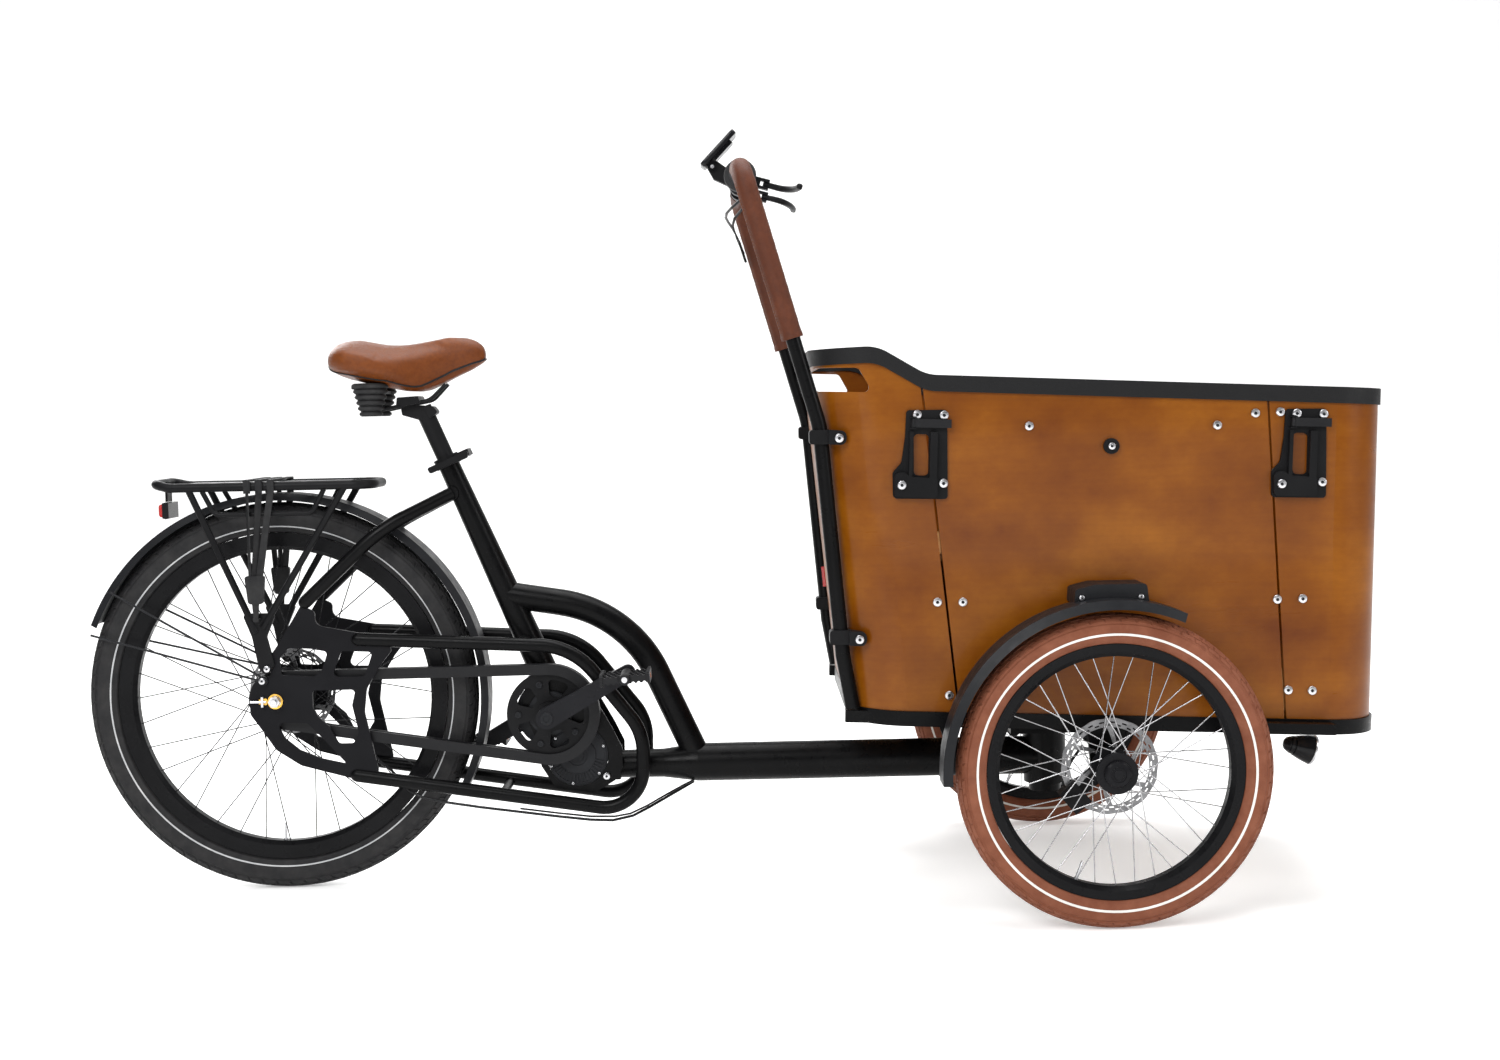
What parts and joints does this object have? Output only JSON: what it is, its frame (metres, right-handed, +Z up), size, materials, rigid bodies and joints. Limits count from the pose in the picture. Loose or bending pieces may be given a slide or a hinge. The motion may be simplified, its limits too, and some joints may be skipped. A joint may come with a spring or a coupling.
{
  "type": "cargo bicycle",
  "caption": "Electric cargo tricycle with a wooden load box on two steered front wheels, a pedal-driven rear wheel, a tall handlebar, a sprung saddle and a rear luggage rack.",
  "frame": {"origin": "middle of the bicycle on the ground", "axes": "+X forwards, +Y to the rider's left, +Z up"},
  "size_m": [2.2755, 0.856, 1.3543],
  "materials": {
    "frame_black": "satin",
    "plate_black": "satin",
    "motor_grey": "satin",
    "case_plastic": "matte",
    "chain_steel": "satin",
    "strap_rubber": "matte",
    "tail_red": "gloss",
    "silver": "satin",
    "cable_black": "satin",
    "small_black": "satin",
    "post_black": "satin",
    "saddle_leather": "satin",
    "sleeve_leather": "satin",
    "rear_rubber": "matte",
    "front_rubber": "matte",
    "rim_black": "satin",
    "spoke_black": "satin",
    "spoke_silver": "satin",
    "hub_grey": "satin",
    "plywood": "gloss",
    "inner_wood": "satin",
    "rim_trim": "matte",
    "guard_black": "satin",
    "lamp_black": "gloss"
  },
  "bodies": {
    "frame": {"seat_tube": "frame_black", "main_frame": "frame_black", "rear_stays": "frame_black", "dropout_plates": "plate_black", "motor": "motor_grey", "chain_case": "case_plastic", "chain": "chain_steel", "rear_mudguard": "guard_black", "rack": "small_black", "luggage_straps": "strap_rubber", "tail_light": "tail_red", "rear_caliper": "small_black", "axle_hardware": "silver", "frame_cables": "cable_black", "seat_clamp": "small_black"},
    "seat_lever": {"seat_lever": "small_black"},
    "saddle": {"seatpost": "post_black", "saddle_frame": "small_black", "saddle_pad": "saddle_leather"},
    "crank": {"crank_arms": "hub_grey", "chainring": "small_black"},
    "pedal_right": {"pedal_right": "case_plastic"},
    "pedal_left": {"pedal_left": "case_plastic"},
    "rear_wheel": {"rear_tyre": "rear_rubber", "rear_rim": "rim_black", "rear_spokes": "spoke_black", "rear_hub": "hub_grey"},
    "rear_sprocket": {"rear_sprocket": "chain_steel"},
    "front_assembly": {"box_floor": "inner_wood", "box_rear_panel": "plywood", "box_side_panels": "plywood", "box_front_panel": "plywood", "box_rim": "rim_trim", "chassis": "frame_black", "bench": "inner_wood", "battery": "case_plastic", "handlebar": "frame_black", "grip_sleeves": "sleeve_leather", "handlebar_clamps": "small_black", "bar_cables": "cable_black", "box_fittings": "small_black", "front_mudguards": "guard_black", "headlamp": "lamp_black", "front_calipers": "small_black"},
    "brake_lever_right": {"brake_lever_right": "small_black"},
    "brake_lever_left": {"brake_lever_left": "small_black"},
    "twist_grip": {"twist_grip": "case_plastic"},
    "display": {"display": "lamp_black"},
    "clip_lever_rear_right": {"clip_lever_rear_right": "case_plastic"},
    "clip_lever_rear_left": {"clip_lever_rear_left": "case_plastic"},
    "clip_lever_front_right": {"clip_lever_front_right": "case_plastic"},
    "clip_lever_front_left": {"clip_lever_front_left": "case_plastic"},
    "front_wheel_right": {"front_tyre_right": "front_rubber", "front_rim_right": "rim_black", "front_spokes_right": "spoke_silver", "front_hub_right": "hub_grey"},
    "front_wheel_left": {"front_tyre_left": "front_rubber", "front_rim_left": "rim_black", "front_spokes_left": "spoke_silver", "front_hub_left": "hub_grey"}
  },
  "joints": [
    {"name": "steering", "type": "hinge", "parent": "frame", "child": "front_assembly", "pos_m": [0.60018, 0, 0.262], "axis": [0, 0, 1], "range_deg": [-35, 35]},
    {"name": "seatpost_slide", "type": "slide", "parent": "frame", "child": "saddle", "axis": [-0.3896, 0, 0.921], "range_m": [-0.06, 0.1]},
    {"name": "seat_lever_swing", "type": "hinge", "parent": "frame", "child": "seat_lever", "pos_m": [-0.44121, 0, 0.78773], "axis": [0, 1, 0], "range_deg": [0, 150]},
    {"name": "crank_spin", "type": "hinge", "parent": "frame", "child": "crank", "pos_m": [-0.29882, 0, 0.316], "axis": [0, 1, 0], "continuous": true},
    {"name": "pedal_right_spin", "type": "hinge", "parent": "crank", "child": "pedal_right", "pos_m": [-0.15382, -0.15, 0.39473], "axis": [0, 1, 0], "continuous": true},
    {"name": "pedal_left_spin", "type": "hinge", "parent": "crank", "child": "pedal_left", "pos_m": [-0.44383, 0.15, 0.23727], "axis": [0, 1, 0], "continuous": true},
    {"name": "rear_wheel_spin", "type": "hinge", "parent": "frame", "child": "rear_wheel", "pos_m": [-0.78482, 0, 0.353], "axis": [0, 1, 0], "continuous": true},
    {"name": "rear_sprocket_spin", "type": "hinge", "parent": "frame", "child": "rear_sprocket", "pos_m": [-0.78482, -0.051, 0.353], "axis": [0, 1, 0], "continuous": true},
    {"name": "front_wheel_right_spin", "type": "hinge", "parent": "front_assembly", "child": "front_wheel_right", "pos_m": [0.65018, -0.39, 0.258], "axis": [0, 1, 0], "continuous": true},
    {"name": "front_wheel_left_spin", "type": "hinge", "parent": "front_assembly", "child": "front_wheel_left", "pos_m": [0.65018, 0.39, 0.258], "axis": [0, 1, 0], "continuous": true},
    {"name": "brake_lever_right_pull", "type": "hinge", "parent": "front_assembly", "child": "brake_lever_right", "pos_m": [0.10861, -0.095, 1.24609], "axis": [-0.2588, 0, -0.9659], "range_deg": [0, 18], "stiffness_Nm_per_rad": 2, "springref_deg": -5.73},
    {"name": "brake_lever_left_pull", "type": "hinge", "parent": "front_assembly", "child": "brake_lever_left", "pos_m": [0.10861, 0.095, 1.24609], "axis": [0.2588, 0, 0.9659], "range_deg": [0, 18], "stiffness_Nm_per_rad": 2, "springref_deg": -5.73},
    {"name": "twist_grip_turn", "type": "hinge", "parent": "front_assembly", "child": "twist_grip", "pos_m": [0.06418, -0.16, 1.258], "axis": [0, 1, 0], "range_deg": [-60, 60]},
    {"name": "display_tilt", "type": "hinge", "parent": "front_assembly", "child": "display", "pos_m": [0.01518, 0, 1.29], "axis": [0, 1, 0], "range_deg": [-20, 20]},
    {"name": "clip_lever_rear_right_swing", "type": "hinge", "parent": "front_assembly", "child": "clip_lever_rear_right", "pos_m": [0.33949, -0.32, 0.82737], "axis": [-0.0419, 0, -0.9991], "range_deg": [0, 110]},
    {"name": "clip_lever_rear_left_swing", "type": "hinge", "parent": "front_assembly", "child": "clip_lever_rear_left", "pos_m": [0.33949, 0.32, 0.82737], "axis": [0.0419, 0, 0.9991], "range_deg": [0, 110]},
    {"name": "clip_lever_front_right_swing", "type": "hinge", "parent": "front_assembly", "child": "clip_lever_front_right", "pos_m": [0.96357, -0.32, 0.81622], "axis": [-0.0419, 0, -0.9991], "range_deg": [0, 110]},
    {"name": "clip_lever_front_left_swing", "type": "hinge", "parent": "front_assembly", "child": "clip_lever_front_left", "pos_m": [0.96357, 0.32, 0.81622], "axis": [0.0419, 0, 0.9991], "range_deg": [0, 110]}
  ],
  "couplings": [
    {"joint": "rear_sprocket_spin", "follows": "crank_spin", "ratio": 1.9}
  ]
}
